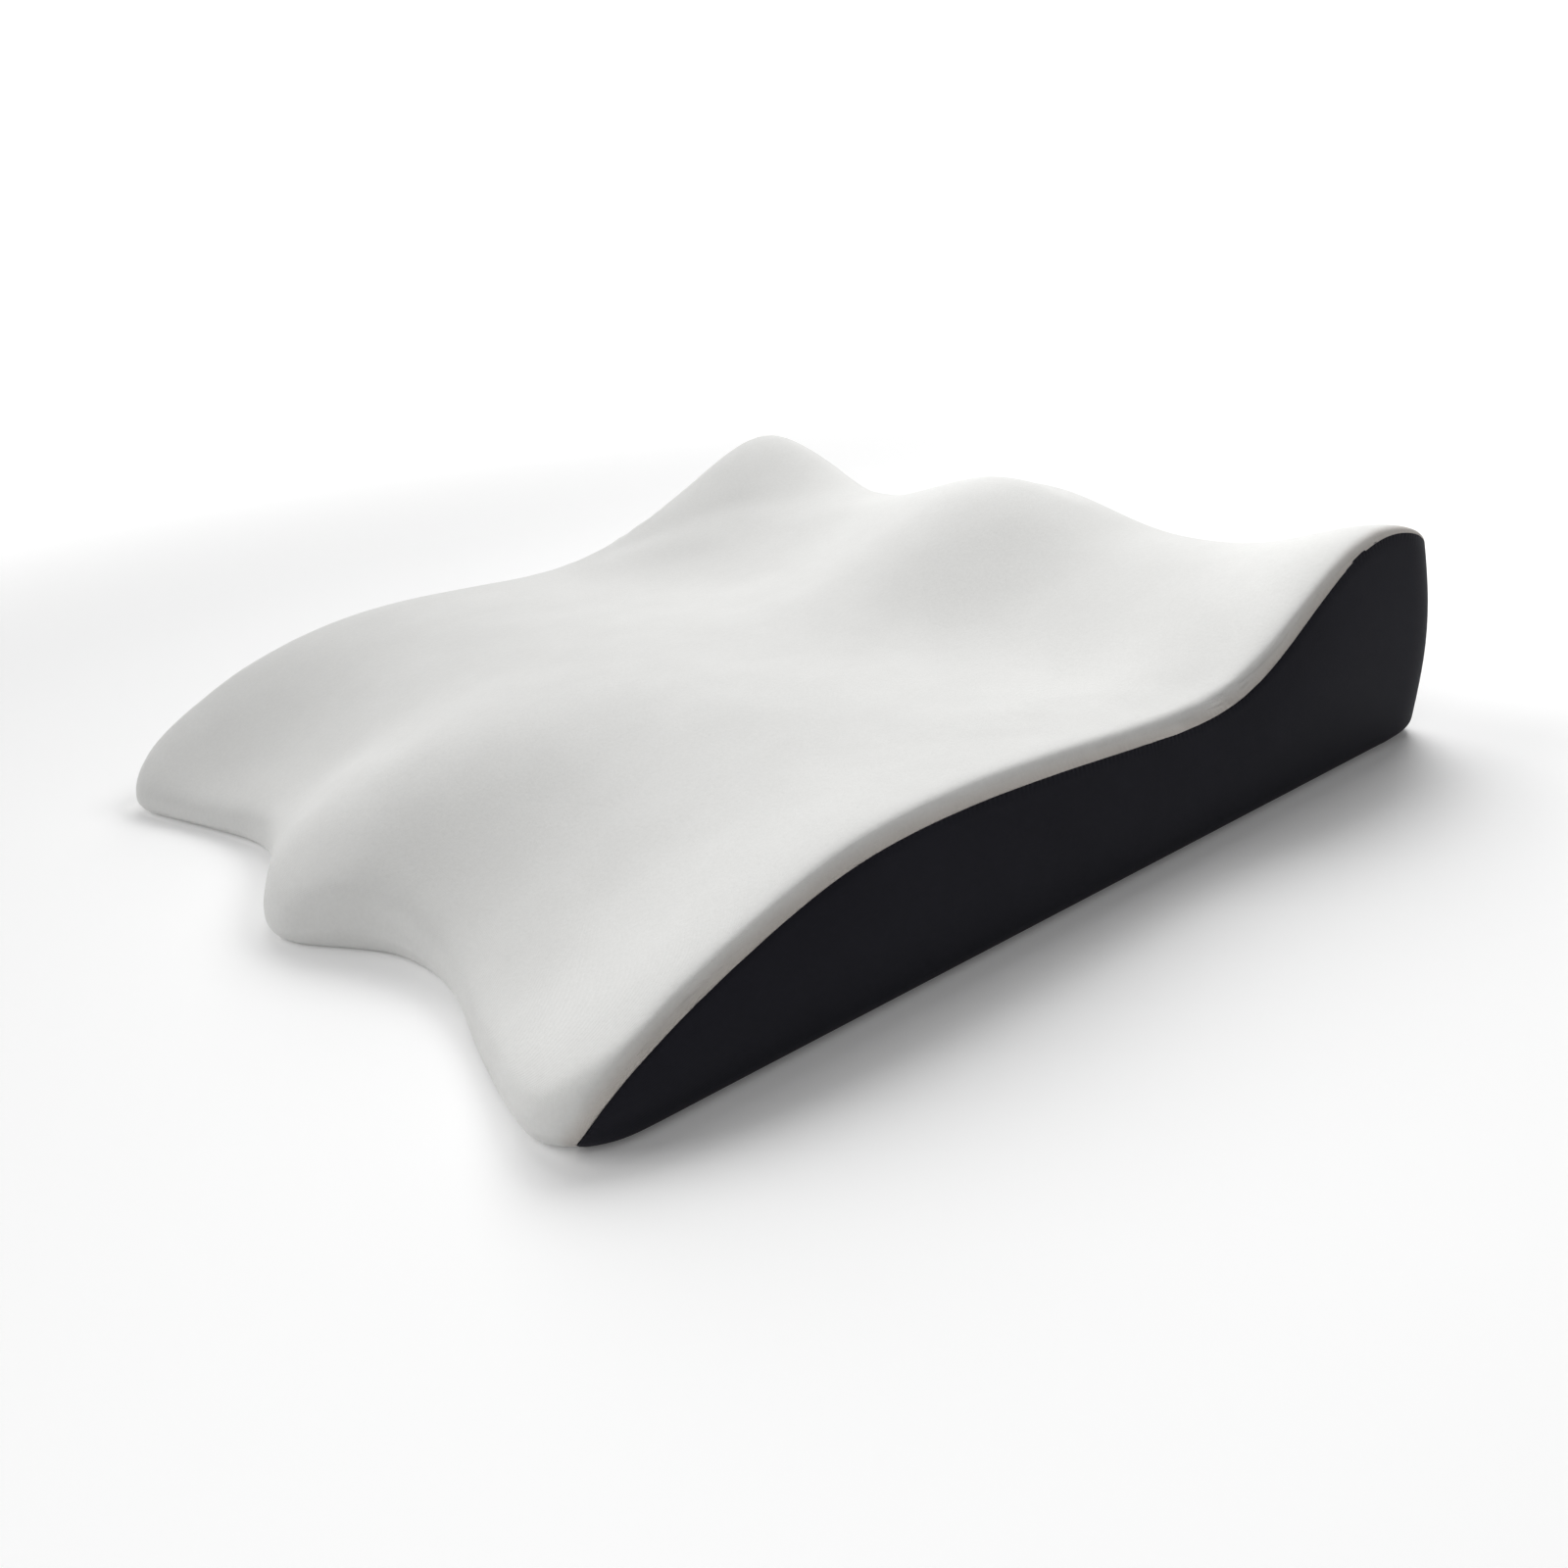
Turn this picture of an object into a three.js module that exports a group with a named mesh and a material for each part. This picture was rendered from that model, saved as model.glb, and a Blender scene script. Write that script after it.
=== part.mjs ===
// Leg elevation pillow in millimetres, +Z up.
// The notched front edge faces -X, the high back faces +X, and it rests on Z = 0.
// Stations are counted from the front line of the two side prongs (0) to the back wall (LENGTH).
// The right side is -Y and the left side is +Y.
import * as THREE from 'three';

// Plan
const LENGTH = 600;
const WIDTH = 575;
const HALF = WIDTH / 2;
const FRONT_CORNER = 37;
const BACK_CORNER = 25;
const FRONT_FADE = 280;

// Walls and edges
const WALL_BULGE = 4.5;
const BOTTOM_ROUND = 13;
const RIM_ACROSS = 9.4;
const RIM = { drop: 4.5, squareness: 2.5, drawnIn: 2 };
const NOSE = { drop: 12, squareness: 2, drawnIn: 0 };
const NOSE_RUN = 45;
const NOSE_ROUND = 7.5;
const DRAWN_STRIP = 5;
const LEAST_STRIP = 1.2;

// Cloth panels
const CLOTH = 2;
const GAP = 0.3;
const WALL_RECESS = CLOTH + 3 * GAP;
const BASE_RECESS = CLOTH + GAP;
const SEAM_TIP = 4.5;
const SEAM_RUN = 36;
const NOSE_WRAP = 32;
const CORNER_WRAP = 16;
const CORNER_RUN = 12;

// Crosswise profile: the channels are lowest at CHANNEL of the half width
const CHANNEL = 0.52;
const RIDGE_SHARPNESS = 1.3;
const RIM_SHARPNESS = 1.48;

// Mesh lines
const LINES_ALONG = 25;
const LINES_ACROSS = 30;
const EDGE_CROWDING = 0.35;
const RIM_STEPS = [0, 0.08, 0.36, 1];
const STRIP_STEPS = [0.25, 0.55, 0.8, 1];
const WALL_STEPS = [0, 0.33, 0.67, 1];
const FOOT_STEPS = [0.45, 0.8, 1];

// Front edge in plan: how far it lies behind the front line on the right and the left half, at
// shares of the half width. The middle prong stands 2 to 3 mm ahead of the side prongs, and the
// two thigh notches are about 36 mm deep.
const FRONT_EDGE = [
  { across: -0.1, right: 14, left: 4.5 },
  { across: 0, right: -0.5, left: -0.5 },
  { across: 0.1, right: 14, left: 4.5 },
  { across: 0.2, right: 32, left: 21.5 },
  { across: 0.3, right: 38.5, left: 31.5 },
  { across: 0.4, right: 38.5, left: 38 },
  { across: 0.5, right: 33, left: 36 },
  { across: 0.6, right: 24.5, left: 29 },
  { across: 0.7, right: 17, left: 20.5 },
  { across: 0.8, right: 9.5, left: 11.5 },
  { across: 0.9, right: 4.5, left: 4 },
  { across: 1, right: 2.5, left: 1.5 },
];

// Heights above the floor at each section: the right and left rims, the leg channels halfway
// between rim and middle, the middle ridge, and how far below the rim the seam runs.
const SECTIONS = [
  { station: 0, right: 18.5, left: 17, channel: 6, ridge: 18.5, strip: 9.5 },
  { station: 20, right: 33, left: 29.5, channel: 13, ridge: 36.5, strip: 10 },
  { station: 40, right: 44.5, left: 42, channel: 21, ridge: 52, strip: 10 },
  { station: 60, right: 54.5, left: 52, channel: 31, ridge: 62.5, strip: 9.8 },
  { station: 90, right: 66.7, left: 66, channel: 45, ridge: 73, strip: 9.4 },
  { station: 150, right: 85.2, left: 81.5, channel: 70, ridge: 81.5, strip: 9.4 },
  { station: 210, right: 90.2, left: 86, channel: 80.5, ridge: 82.5, strip: 9.8 },
  { station: 270, right: 87.7, left: 83, channel: 80.5, ridge: 80.5, strip: 9.8 },
  { station: 330, right: 82.7, left: 79.5, channel: 75.5, ridge: 79.5, strip: 9.8 },
  { station: 380, right: 79.7, left: 83.5, channel: 72, ridge: 85.5, strip: 10 },
  { station: 430, right: 87.3, left: 98, channel: 79, ridge: 100.5, strip: 10 },
  { station: 480, right: 115, left: 118.5, channel: 95.5, ridge: 121.5, strip: 9 },
  { station: 520, right: 132, left: 136, channel: 107, ridge: 133.5, strip: 6.8 },
  { station: 550, right: 133, left: 143, channel: 109, ridge: 134.5, strip: 4.8 },
  { station: 575, right: 126, left: 139.5, channel: 103.5, ridge: 127.5, strip: 3.6 },
  { station: 600, right: 110.5, left: 124, channel: 89.5, ridge: 112, strip: 3.4 },
];

// Rows of the wall below the seam, in order down.
const WALL_ROWS = [...WALL_STEPS, ...FOOT_STEPS].map((_, index) => index);

const clamp = THREE.MathUtils.clamp;
const lerp = THREE.MathUtils.lerp;
const smoothstep = THREE.MathUtils.smoothstep;

// A smooth curve through one column of a table.
function curveThrough(rows, placeName, columnName) {
  const at = rows.map((row) => row[placeName]);
  const value = rows.map((row) => row[columnName]);
  const last = rows.length - 1;
  const slope = value.map((_, i) => {
    const before = Math.max(i - 1, 0);
    const after = Math.min(i + 1, last);
    return (value[after] - value[before]) / (at[after] - at[before]);
  });
  return (place) => {
    let i = 0;
    while (i < last - 1 && place > at[i + 1]) i += 1;
    const span = at[i + 1] - at[i];
    const s = (place - at[i]) / span;
    const straight = value[i] + (value[i + 1] - value[i]) * (3 - 2 * s) * s * s;
    return straight + span * s * (1 - s) * (slope[i] * (1 - s) - slope[i + 1] * s);
  };
}

const rightFront = curveThrough(FRONT_EDGE, 'across', 'right');
const leftFront = curveThrough(FRONT_EDGE, 'across', 'left');
const rightRim = curveThrough(SECTIONS, 'station', 'right');
const leftRim = curveThrough(SECTIONS, 'station', 'left');
const channelHeight = curveThrough(SECTIONS, 'station', 'channel');
const ridgeHeight = curveThrough(SECTIONS, 'station', 'ridge');
const stripDrop = curveThrough(SECTIONS, 'station', 'strip');

// The rim's form: square and drawn in over the band, round at the nose.
function rimForm(along, name) {
  return lerp(NOSE[name], RIM[name], smoothstep(along, 0, NOSE_RUN));
}

// How far the rim's rounding drops: less at the back, where the seam runs close under the rim.
function rimDrop(along) {
  const drop = rimForm(along, 'drop');
  return along > LENGTH / 2 ? Math.min(drop, stripDrop(along) - LEAST_STRIP) : drop;
}

// How far the rim is drawn in over the strip: fully only where the strip is tall.
function rimDrawnIn(along) {
  const tall = clamp((stripDrop(along) - RIM.drop) / DRAWN_STRIP, 0, 1);
  return rimForm(along, 'drawnIn') * tall;
}

function frontEdge(y) {
  const share = clamp(Math.abs(y) / HALF, 0, 1);
  return y < 0 ? rightFront(share) : leftFront(share);
}

// Height of the top at a point of the plan, before its rim is rounded.
function crownHeight(station, y) {
  const share = clamp(Math.abs(y) / HALF, 0, 1);
  const rim = y < 0 ? rightRim(station) : leftRim(station);
  const toRidge = 0.5 * (1 + Math.cos(Math.PI * clamp(share / CHANNEL, 0, 1)));
  const toRim = 0.5 * (1 - Math.cos(Math.PI * clamp((share - CHANNEL) / (1 - CHANNEL), 0, 1)));
  const low = channelHeight(station);
  const ridge = (ridgeHeight(station) - low) * toRidge ** RIDGE_SHARPNESS;
  return low + ridge + (rim - low) * toRim ** RIM_SHARPNESS;
}

// A point of the plain rectangle, moved onto the plan with round corners and a wavy front.
function planPoint(along, across) {
  const side = HALF - Math.abs(across);
  const atFront = along < LENGTH / 2;
  const end = atFront ? along : LENGTH - along;
  const radius = atFront ? FRONT_CORNER : BACK_CORNER;
  let roundSide = side;
  let roundEnd = end;
  if (side < radius && end < radius) {
    const u = radius - side;
    const v = radius - end;
    const pull = Math.max(u, v) / Math.hypot(u, v);
    roundSide = radius - u * pull;
    roundEnd = radius - v * pull;
  }
  const y = Math.sign(across) * (HALF - roundSide);
  const x = atFront ? roundEnd : LENGTH - roundEnd;
  const wave = frontEdge(y) * (1 - smoothstep(x, 2 * RIM_ACROSS, FRONT_FADE));
  return { x: x + wave, y };
}

// Mesh lines over one span: close together at the rims and ends, wider between them.
function meshLines(span, count) {
  const inner = span - 2 * RIM_ACROSS;
  const middle = [];
  for (let i = 1; i < count; i += 1) {
    const t = i / count;
    const wide = t - (EDGE_CROWDING * Math.sin(4 * Math.PI * t)) / (4 * Math.PI);
    middle.push(RIM_ACROSS + inner * wide);
  }
  const start = RIM_STEPS.map((step) => step * RIM_ACROSS);
  const end = RIM_STEPS.map((step) => span - step * RIM_ACROSS).reverse();
  return [...start, ...middle, ...end];
}

const alongLines = meshLines(LENGTH, LINES_ALONG);
const acrossLines = meshLines(WIDTH, LINES_ACROSS).map((place) => place - HALF);

// Places round the outline, anticlockwise from the front right corner.
function outlinePlaces() {
  const lastRow = alongLines.length - 1;
  const lastColumn = acrossLines.length - 1;
  const spots = [];
  for (let i = 0; i < lastRow; i += 1) spots.push({ row: i, column: 0 });
  for (let j = 0; j < lastColumn; j += 1) spots.push({ row: lastRow, column: j });
  for (let i = lastRow; i > 0; i -= 1) spots.push({ row: i, column: lastColumn });
  for (let j = lastColumn; j > 0; j -= 1) spots.push({ row: 0, column: j });
  return spots.map((spot) => {
    return { ...spot, along: alongLines[spot.row], across: acrossLines[spot.column] };
  });
}

// The outline moved inwards by a distance, or outwards by a negative one.
function insetPoint(place, inset) {
  const along = inset + (place.along * (LENGTH - 2 * inset)) / LENGTH;
  const across = (place.across * (HALF - inset)) / HALF;
  return planPoint(along, across);
}

const outline = outlinePlaces().map((place) => {
  const edge = planPoint(place.along, place.across);
  const crown = crownHeight(edge.x, edge.y);
  const seamLevel = crown - stripDrop(clamp(edge.x, 0, LENGTH));
  return { ...place, rimFoot: crown - rimDrop(place.along), seamLevel };
});

// Radius of the foot under a spot: smaller along the nose than under the band.
function footRound(spot) {
  if (isBanded(spot)) return BOTTOM_ROUND;
  return lerp(BOTTOM_ROUND, NOSE_ROUND, smoothstep(HALF - Math.abs(spot.across), 0, FRONT_CORNER));
}

// How far the wall surface lies inside the outline at a height; depth sinks it into the filling.
function wallInset(spot, z, depth) {
  const round = footRound(spot);
  if (z >= round) {
    const share = clamp((z - round) / (spot.rimFoot - round), 0, 1);
    const tall = clamp((spot.rimFoot - round) / (4 * round), 0, 1);
    return depth - WALL_BULGE * tall * 4 * share * (1 - share);
  }
  const radius = round - depth;
  const down = Math.min(round - z, radius);
  return round - Math.sqrt(radius * radius - down * down);
}

// The dark band lies on every spot of the sides and the back, and on none of the nose.
function isBanded(spot) {
  return Math.abs(spot.across) === HALF || spot.along === LENGTH;
}

// Height of the seam between the light top and the dark band. It runs just under the rim, drops
// steeply at each front corner and ends in a tip near the floor in the middle of that corner.
function seamHeight(spot) {
  if (!isBanded(spot)) return SEAM_TIP;
  const rise = Math.sin((Math.PI / 2) * clamp(spot.along / SEAM_RUN, 0, 1));
  return lerp(SEAM_TIP, spot.seamLevel, rise);
}

// The light cloth ends a gap above the seam, a wider one where the seam climbs steeply.
function stripFoot(spot) {
  const climb = isBanded(spot) ? 1 - clamp(spot.along / SEAM_RUN, 0, 1) : 0;
  return seamHeight(spot) + GAP * (1 + 2 * climb);
}

// How far the light strip is drawn in, at shares of the way down from the rim to the seam.
function stripDrawnIn(spot, share) {
  return rimDrawnIn(spot.along) * (1 - share);
}

// Heights down the wall from the seam, round the foot and on to the lowest point.
function wallHeights(spot, lowest) {
  const seam = seamHeight(spot);
  const round = footRound(spot);
  const turn = seam > round + 1 ? round : lerp(seam, lowest, 0.5);
  const wall = WALL_STEPS.map((share) => lerp(seam, turn, share));
  const foot = FOOT_STEPS.map((share) => lerp(turn, lowest, share));
  return [...wall, ...foot];
}

// How far inside the outline the edge of the base panel lies.
function baseInset(spot, z) {
  if (isBanded(spot)) {
    const run = clamp(spot.along / CORNER_RUN, 0, 1);
    return lerp(CORNER_WRAP, wallInset(spot, z, 0), run);
  }
  const run = clamp((HALF - Math.abs(spot.across)) / CORNER_RUN, 0, 1);
  return lerp(CORNER_WRAP, NOSE_WRAP, run);
}

// A point of the mesh on the rounded top.
function topPoint(along, across) {
  const inset = Math.min(HALF - Math.abs(across), along, LENGTH - along);
  const share = 1 - clamp(inset / RIM_ACROSS, 0, 1);
  const point = insetPoint({ along, across }, share * rimDrawnIn(along));
  const power = rimForm(along, 'squareness');
  const drop = rimDrop(along) * (1 - (1 - share ** power) ** (1 / power));
  return [point.x, point.y, crownHeight(point.x, point.y) - drop];
}

// One point for each outline spot, at an inset and a height of its own.
function loopAt(insetOf, heightOf) {
  return outline.map((spot) => {
    const point = insetPoint(spot, insetOf(spot));
    return [point.x, point.y, heightOf(spot)];
  });
}

// The wall at one of its heights, sunk by a depth.
function wallLoop(index, lowestOf, depthOf) {
  const heightOf = (spot) => wallHeights(spot, lowestOf(spot))[index];
  return loopAt((spot) => wallInset(spot, heightOf(spot), depthOf(spot)), heightOf);
}

// Collects points and faces. A loop is kept as the list of its points' numbers.
function makeShell() {
  const points = [];
  const faces = [];
  const addPoint = (point) => {
    points.push(point);
    return points.length - 1;
  };
  const addLoop = (loop) => loop.map(addPoint);
  const joinPair = (upper, lower, k, next) => {
    faces.push(upper[k], lower[k], lower[next]);
    faces.push(upper[k], lower[next], upper[next]);
  };
  const joinLoops = (upper, lower) => {
    upper.forEach((_, k) => joinPair(upper, lower, k, (k + 1) % upper.length));
  };
  const joinStrips = (upper, lower) => {
    upper.slice(1).forEach((_, k) => joinPair(upper, lower, k, k + 1));
  };
  const capLoop = (loop, facesUp) => {
    const flat = loop.map((corner) => new THREE.Vector2(points[corner][0], points[corner][1]));
    THREE.ShapeUtils.triangulateShape(flat, []).forEach(([a, b, c]) => {
      faces.push(loop[a], loop[facesUp ? b : c], loop[facesUp ? c : b]);
    });
  };
  const finish = () => {
    const geometry = new THREE.BufferGeometry();
    geometry.setAttribute('position', new THREE.Float32BufferAttribute(points.flat(), 3));
    geometry.setIndex(faces);
    return geometry;
  };
  return { faces, addPoint, addLoop, joinLoops, joinStrips, capLoop, finish };
}

// The filled pillow with its light top: the contoured top, the rim, the nose down to the floor,
// and shallow recesses where the dark band and the base panel lie on it.
function filledTop() {
  const shell = makeShell();
  const grid = alongLines.map((along) => {
    return acrossLines.map((across) => shell.addPoint(topPoint(along, across)));
  });
  for (let i = 0; i + 1 < alongLines.length; i += 1) {
    for (let j = 0; j + 1 < acrossLines.length; j += 1) {
      const [a, b, c, d] = [grid[i][j], grid[i + 1][j], grid[i + 1][j + 1], grid[i][j + 1]];
      shell.faces.push(a, b, c);
      shell.faces.push(a, c, d);
    }
  }
  const depthOf = (spot) => (isBanded(spot) ? WALL_RECESS : 0);
  const lowestOf = (spot) => (isBanded(spot) ? BASE_RECESS : 0);
  const strip = STRIP_STEPS.map((share) => {
    const heightOf = (spot) => lerp(spot.rimFoot, stripFoot(spot), share);
    const insetOf = (spot) => wallInset(spot, heightOf(spot), 0) + stripDrawnIn(spot, share);
    return loopAt(insetOf, heightOf);
  });
  const ledgeHeight = (spot) => (isBanded(spot) ? stripFoot(spot) : seamHeight(spot));
  const ledge = loopAt((spot) => wallInset(spot, ledgeHeight(spot), depthOf(spot)), ledgeHeight);
  const wall = WALL_ROWS.slice(1).map((index) => wallLoop(index, lowestOf, depthOf));
  const wrapOf = (spot) => Math.max(baseInset(spot, 0) - 2 * GAP, footRound(spot) + GAP);
  const wrap = loopAt(wrapOf, lowestOf);
  const step = loopAt((spot) => wrapOf(spot) + GAP / 2, () => BASE_RECESS);
  const rimLoop = outline.map((spot) => grid[spot.row][spot.column]);
  const rows = [rimLoop, ...[...strip, ledge, ...wall, wrap, step].map(shell.addLoop)];
  rows.slice(1).forEach((row, i) => shell.joinLoops(rows[i], row));
  shell.capLoop(rows[rows.length - 1], false);
  return shell.finish();
}

// The dark band: one strip of cloth from tip to tip round the right side, back and left side.
function sideBand() {
  const shell = makeShell();
  const outer = WALL_ROWS.map((index) => wallLoop(index, () => BASE_RECESS, () => 0));
  const inner = WALL_ROWS.map((index) => wallLoop(index, () => BASE_RECESS, () => CLOTH));
  const count = outline.filter(isBanded).length;
  const section = [...outer, ...inner.reverse()];
  const rows = section.map((loop) => shell.addLoop(loop.slice(0, count)));
  rows.forEach((row, i) => shell.joinStrips(row, rows[(i + 1) % rows.length]));
  const pairs = WALL_ROWS.slice(1).map((index) => {
    return [rows[index - 1], rows[index], rows[rows.length - 1 - index], rows[rows.length - index]];
  });
  pairs.forEach(([a, b, c, d]) => {
    const last = count - 1;
    shell.faces.push(a[0], d[0], c[0], a[0], c[0], b[0]);
    shell.faces.push(a[last], b[last], c[last], a[last], c[last], d[last]);
  });
  return shell.finish();
}

// The base panel: a flat sheet whose edge follows the rounded foot at the sides and the back.
function basePanel() {
  const shell = makeShell();
  const rows = [CLOTH, CLOTH / 2, CLOTH / 8, 0].map((z) => {
    return shell.addLoop(loopAt((spot) => baseInset(spot, z), () => z));
  });
  rows.slice(1).forEach((row, i) => shell.joinLoops(rows[i], row));
  shell.capLoop(rows[0], true);
  shell.capLoop(rows[rows.length - 1], false);
  return shell.finish();
}

const part = new THREE.Group();

function addPiece(name, geometry, finish) {
  const mesh = new THREE.Mesh(geometry, new THREE.MeshStandardMaterial(finish));
  mesh.name = name;
  part.add(mesh);
}

const LIGHT_KNIT = { color: 0xe4e4e2, roughness: 0.9, metalness: 0 };
const DARK_CLOTH = { color: 0x202023, roughness: 0.85, metalness: 0 };

addPiece('filled_top', filledTop(), LIGHT_KNIT);
addPiece('side_band', sideBand(), DARK_CLOTH);
addPiece('base_panel', basePanel(), DARK_CLOTH);

// The origin lies under the middle of the whole box, on the floor.
const box = new THREE.Box3().setFromObject(part);
part.position.x = -(box.min.x + box.max.x) / 2;

export default part;
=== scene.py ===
"""Leg elevation pillow: a filled pillow in a light knit cover, with a dark side band and base.

Everything is in metres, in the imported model's own frame. The notched front edge faces -X, the high
back faces +X, the right side is -Y and the left side +Y, and the pillow rests on Z = 0.
"""
from __future__ import annotations

import logging
import math
from dataclasses import dataclass, field
from enum import Enum

import bmesh
import bpy
from mathutils import Matrix, Vector, noise
from mathutils.kdtree import KDTree


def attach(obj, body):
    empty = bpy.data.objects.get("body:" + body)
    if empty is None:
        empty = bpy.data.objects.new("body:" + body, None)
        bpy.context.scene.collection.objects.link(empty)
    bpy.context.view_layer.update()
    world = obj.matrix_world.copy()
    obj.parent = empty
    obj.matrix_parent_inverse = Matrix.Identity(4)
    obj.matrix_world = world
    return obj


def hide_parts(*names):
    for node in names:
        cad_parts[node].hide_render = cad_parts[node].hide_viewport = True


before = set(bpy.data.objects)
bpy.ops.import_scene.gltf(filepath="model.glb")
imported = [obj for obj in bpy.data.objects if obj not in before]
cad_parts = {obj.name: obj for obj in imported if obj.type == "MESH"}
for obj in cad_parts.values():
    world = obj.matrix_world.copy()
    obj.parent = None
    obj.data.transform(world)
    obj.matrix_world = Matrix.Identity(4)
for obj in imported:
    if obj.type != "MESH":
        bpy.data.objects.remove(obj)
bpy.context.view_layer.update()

LOG = logging.getLogger("leg_pillow")
MM = 0.001
MERGE_WITHIN = 1e-6
FOLD_ANGLE = math.radians(60)
FLAT_NORMAL = 0.999
WIDE_FACE = 2e-3
FORM_REACH = 2.5 * MM
CREASE_LAYER = "crease_edge"
RIB_LEAN = 2.2
STITCH_RATE = 1.4
NEEDLE_PITCH = 3 * MM
NEEDLE_FADE = 1.6 * MM
CLOUD_DETAIL = 4.0
CLOUD_ROUGHNESS = 0.55


class Weave(Enum):
    """How the threads of a cloth lie."""

    KNIT = "knit"
    PLAIN = "plain"


class GroupBuilder:
    """Builds one shader node group with named inputs and outputs."""

    def __init__(self, name: str) -> None:
        """Starts an empty group.

        Args:
            name: The group's name.
        """
        self.tree = bpy.data.node_groups.new(name, "ShaderNodeTree")
        self.entry = self.tree.nodes.new("NodeGroupInput")
        self.exit = self.tree.nodes.new("NodeGroupOutput")

    def socket(
        self, name: str, kind: str, is_output: bool = False, default: float | None = None
    ) -> None:
        """Adds one named socket.

        Args:
            name: The socket's name.
            kind: Float, Vector or Color.
            is_output: True for an output.
            default: The value of an input that nothing feeds.
        """
        side = "OUTPUT" if is_output else "INPUT"
        made = self.tree.interface.new_socket(name, in_out=side, socket_type=f"NodeSocket{kind}")
        if default is not None:
            made.default_value = default

    def node(self, kind: str, **settings: object) -> bpy.types.Node:
        """Adds one node.

        Args:
            kind: The node's type.
            **settings: Attributes of the node.

        Returns:
            The new node.
        """
        return add_node(self.tree, kind, **settings)

    def link(self, source: bpy.types.NodeSocket, target: bpy.types.NodeSocket) -> None:
        """Joins two sockets."""
        self.tree.links.new(source, target)

    def math(self, operation: str, *values: bpy.types.NodeSocket | float) -> bpy.types.NodeSocket:
        """Adds one Math node.

        Args:
            operation: The operation, such as MULTIPLY.
            *values: What feeds it, sockets or numbers.

        Returns:
            The result's socket.
        """
        made = self.node("ShaderNodeMath", operation=operation)
        for place, value in enumerate(values):
            if isinstance(value, bpy.types.NodeSocket):
                self.link(value, made.inputs[place])
            else:
                made.inputs[place].default_value = value
        return made.outputs[0]


def add_node(tree: bpy.types.NodeTree, kind: str, **settings: object) -> bpy.types.Node:
    """Adds one node to a tree.

    Args:
        tree: The node tree.
        kind: The node's type.
        **settings: Attributes of the node.

    Returns:
        The new node.
    """
    made = tree.nodes.new(kind)
    for name, value in settings.items():
        setattr(made, name, value)
    return made


def thread_group(weave: Weave) -> bpy.types.ShaderNodeTree:
    """The relief of a cloth's threads, read in metres along the cloth.

    Args:
        weave: How the threads lie.

    Returns:
        A group with the inputs Vector and Pitch and the output Height, from 0 to 1.
    """
    name = f"threads_{weave.value}"
    if name in bpy.data.node_groups:
        return bpy.data.node_groups[name]
    made = GroupBuilder(name)
    made.socket("Vector", "Vector")
    made.socket("Pitch", "Float", default=MM)
    made.socket("Height", "Float", is_output=True)
    parts = made.node("ShaderNodeSeparateXYZ")
    made.link(made.entry.outputs["Vector"], parts.inputs[0])
    turn = made.math("DIVIDE", 2 * math.pi, made.entry.outputs["Pitch"])
    across = made.math("MULTIPLY", parts.outputs["X"], turn)
    along = made.math("MULTIPLY", parts.outputs["Y"], turn)
    if weave is Weave.KNIT:
        half_turn = made.math("SINE", made.math("MULTIPLY", across, 0.5))
        lean = made.math("MULTIPLY", made.math("ABSOLUTE", half_turn), RIB_LEAN)
        rib = made.math("ABSOLUTE", made.math("SINE", across))
        row = made.math("MULTIPLY", along, STITCH_RATE)
        stitch = made.math("SINE", made.math("ADD", row, lean))
        raised = made.math("MULTIPLY_ADD", stitch, 0.25, 0.25)
        height = made.math("MULTIPLY_ADD", rib, 0.5, raised)
    else:
        warp = made.math("SINE", across)
        weft = made.math("SINE", along)
        height = made.math("MULTIPLY_ADD", made.math("MULTIPLY", warp, weft), 0.5, 0.5)
    made.link(height, made.exit.inputs["Height"])
    return made.tree


def mottle_group() -> bpy.types.ShaderNodeTree:
    """Soft uneven patches, as in washed or handled cloth.

    Returns:
        A group with the inputs Vector and Patch (m) and the output Mask, from 0 to 1.
    """
    name = "soft_mottle"
    if name in bpy.data.node_groups:
        return bpy.data.node_groups[name]
    made = GroupBuilder(name)
    made.socket("Vector", "Vector")
    made.socket("Patch", "Float", default=0.05)
    made.socket("Mask", "Float", is_output=True)
    scale = made.math("DIVIDE", 1.0, made.entry.outputs["Patch"])
    cloud = made.node("ShaderNodeTexNoise")
    cloud.inputs["Detail"].default_value = CLOUD_DETAIL
    cloud.inputs["Roughness"].default_value = CLOUD_ROUGHNESS
    made.link(made.entry.outputs["Vector"], cloud.inputs["Vector"])
    made.link(scale, cloud.inputs["Scale"])
    made.link(cloud.outputs["Fac"], made.exit.inputs["Mask"])
    return made.tree


def needle_group() -> bpy.types.ShaderNodeTree:
    """Small dimples where the needle pulls the cloth in beside a seam.

    Returns:
        A group with the inputs Run and Gap (m, along and away from the seam) and Pitch, and the
        output Height, from -1 to 0.
    """
    name = "needle_pull"
    if name in bpy.data.node_groups:
        return bpy.data.node_groups[name]
    made = GroupBuilder(name)
    made.socket("Run", "Float")
    made.socket("Gap", "Float")
    made.socket("Pitch", "Float", default=NEEDLE_PITCH)
    made.socket("Height", "Float", is_output=True)
    turn = made.math("DIVIDE", 2 * math.pi, made.entry.outputs["Pitch"])
    wave = made.math("SINE", made.math("MULTIPLY", made.entry.outputs["Run"], turn))
    beat = made.math("MULTIPLY_ADD", wave, 0.5, 0.5)
    fade = made.math("EXPONENT", made.math("DIVIDE", made.entry.outputs["Gap"], -NEEDLE_FADE))
    pull = made.math("MULTIPLY", beat, fade)
    made.link(made.math("MULTIPLY", pull, -1.0), made.exit.inputs["Height"])
    return made.tree


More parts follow.
